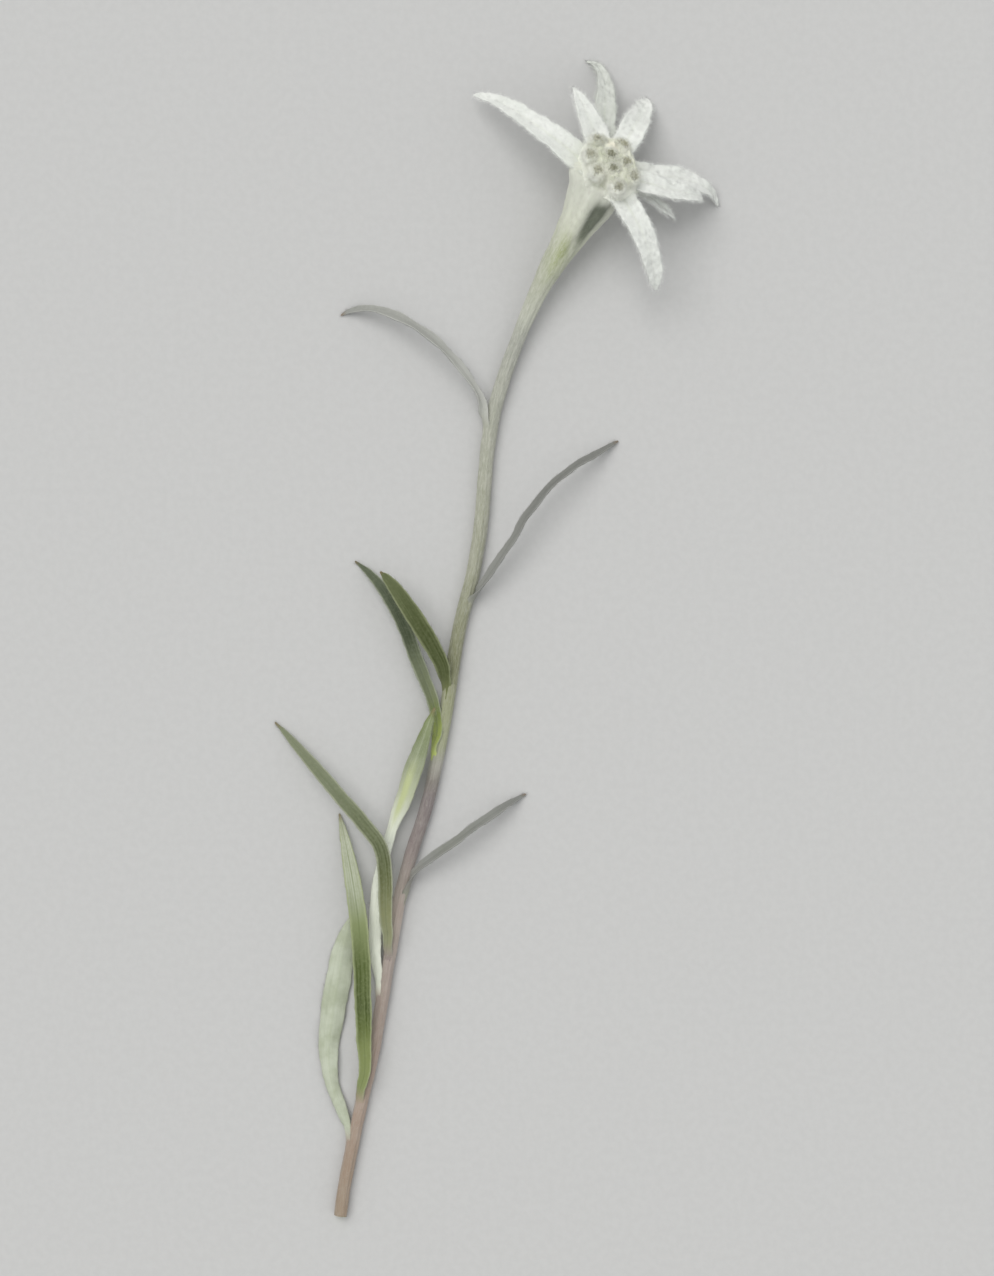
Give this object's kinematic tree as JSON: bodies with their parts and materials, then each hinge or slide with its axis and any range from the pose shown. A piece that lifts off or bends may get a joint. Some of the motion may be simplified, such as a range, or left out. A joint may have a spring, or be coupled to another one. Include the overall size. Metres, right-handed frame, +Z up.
{
  "type": "cut edelweiss flower stem",
  "caption": "Cut edelweiss stem lying down: a woolly white star of bracts round small cream flower heads, on a curved downy stem with narrow grey-green leaves.",
  "frame": {"origin": "middle of the bounding box, at the surface that the stem lies on", "axes": "+Y runs from the cut end to the star, +Z up from the surface, which is the way the star faces, +X to the right seen from above"},
  "size_m": [0.0884, 0.2298, 0.0187],
  "materials": {
    "stem_down": "soft green stem under grey-white down, mauve to pinkish brown lower down",
    "bract_felt": "thick matte white felt of plant wool",
    "flower_head": "cream florets in white wool, with brown-tipped scales",
    "leaf": "matte grey-green above with a pale hairy edge, white felt below"
  },
  "bodies": {
    "root": {"stem": "stem_down", "bract_left_long": "bract_felt", "bract_upper_left": "bract_felt", "bract_top": "bract_felt", "bract_upper_right": "bract_felt", "bract_right_back": "bract_felt", "bract_right_front": "bract_felt", "bract_right_small": "bract_felt", "bract_lower": "bract_felt", "capitulum_centre": "flower_head", "capitulum_top_left": "flower_head", "capitulum_top_right": "flower_head", "capitulum_right": "flower_head", "capitulum_low_right": "flower_head", "capitulum_bottom": "flower_head", "capitulum_low_centre": "flower_head", "capitulum_low_left": "flower_head", "capitulum_left": "flower_head", "leaf_1": "leaf", "leaf_2": "leaf", "leaf_3": "leaf", "leaf_4": "leaf", "leaf_5": "leaf", "leaf_6": "leaf", "leaf_7": "leaf", "leaf_8": "leaf", "leaf_9": "leaf"}
  },
  "joints": []
}
